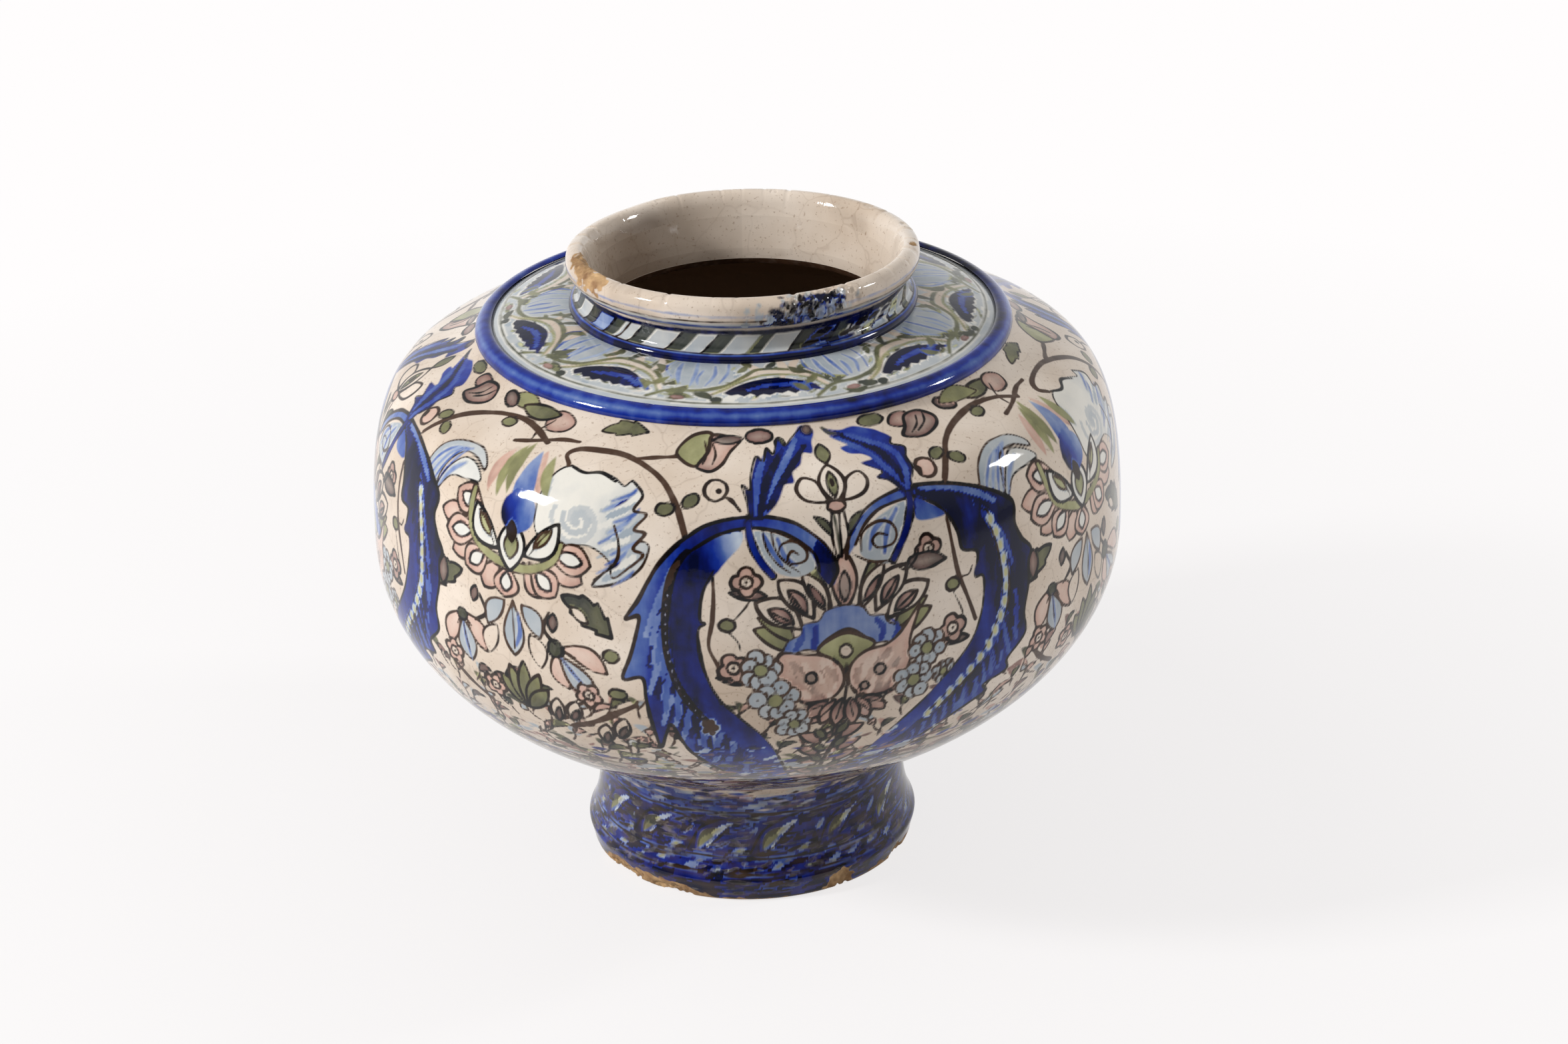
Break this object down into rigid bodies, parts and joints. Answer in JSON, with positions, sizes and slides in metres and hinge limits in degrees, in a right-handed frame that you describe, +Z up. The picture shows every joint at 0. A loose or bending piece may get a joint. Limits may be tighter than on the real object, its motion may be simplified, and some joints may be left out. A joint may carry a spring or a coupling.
{
  "type": "vase",
  "caption": "Squat bulbous glazed stonepaste vase with wide mouth, short neck, raised shoulder moulding, high hollow foot and underglaze-painted floral ornament; holds flowers.",
  "frame": {"origin": "on the table, under the middle of the standing ring", "axes": "+Z up along the axis that the vase was turned on, the pictured front towards -Y"},
  "size_m": [0.28, 0.28, 0.24],
  "materials": {
    "foot_glaze": "glossy dark blue ground with reserved leaves, chipped to the brown body along the standing edge",
    "painted_glaze": "glossy crackled cream glaze over cobalt, light blue, olive, brown and pink painting",
    "cobalt_glaze": "glossy cobalt blue",
    "banded_glaze": "glossy, blue lines and a band of slanted lozenges",
    "lip_glaze": "worn cream glaze with chips to the body"
  },
  "bodies": {
    "root": {"foot_ring": "foot_glaze", "lower_bowl": "painted_glaze", "upper_bowl": "painted_glaze", "shoulder_dome": "painted_glaze", "shoulder_moulding": "cobalt_glaze", "neck_collar": "banded_glaze", "rolled_lip": "lip_glaze"}
  },
  "joints": []
}
